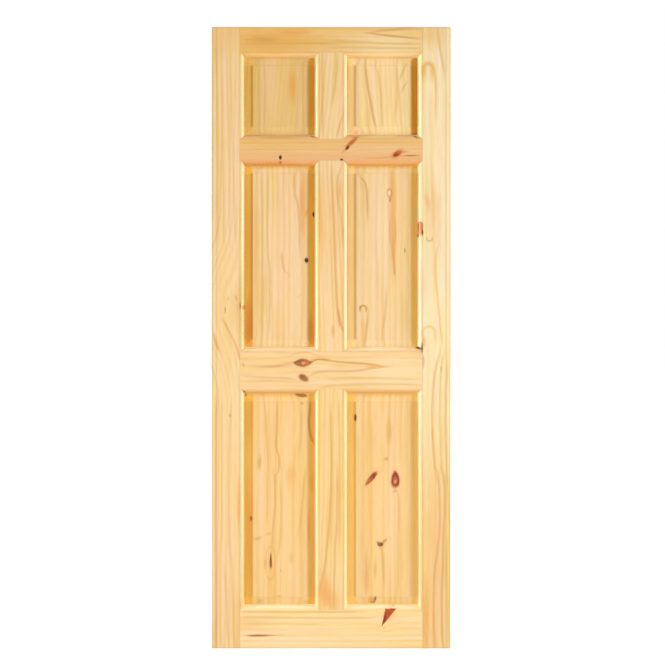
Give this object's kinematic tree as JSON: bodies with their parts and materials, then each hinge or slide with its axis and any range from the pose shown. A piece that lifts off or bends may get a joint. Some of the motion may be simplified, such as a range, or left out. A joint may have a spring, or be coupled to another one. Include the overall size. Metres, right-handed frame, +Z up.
{
  "type": "six-panel door",
  "caption": "Unhung knotty pine door leaf: stiles, rails and muntins with ovolo mouldings hold raised and fielded panels in grooves; it closes a doorway once hinges and a latch are fitted.",
  "frame": {"origin": "on the outer edge face of the left stile, at the foot of the leaf and in the middle of its thickness", "axes": "+X runs across the leaf from the hinge edge to the lock edge, the front face looks along -Y, +Z is up"},
  "size_m": [0.762, 0.035, 1.981],
  "materials": {
    "stile_pine": "planed and sanded clear pine, satin",
    "rail_pine": "planed and sanded clear pine, satin",
    "muntin_pine": "planed and sanded clear pine, satin",
    "panel_pine": "planed and sanded knotty pine, satin"
  },
  "bodies": {
    "root": {"left_stile": "stile_pine", "right_stile": "stile_pine", "top_rail": "rail_pine", "frieze_rail": "rail_pine", "lock_rail": "rail_pine", "bottom_rail": "rail_pine", "top_muntin": "muntin_pine", "middle_muntin": "muntin_pine", "bottom_muntin": "muntin_pine", "top_left_panel": "panel_pine", "top_right_panel": "panel_pine", "middle_left_panel": "panel_pine", "middle_right_panel": "panel_pine", "bottom_left_panel": "panel_pine", "bottom_right_panel": "panel_pine"}
  },
  "joints": []
}
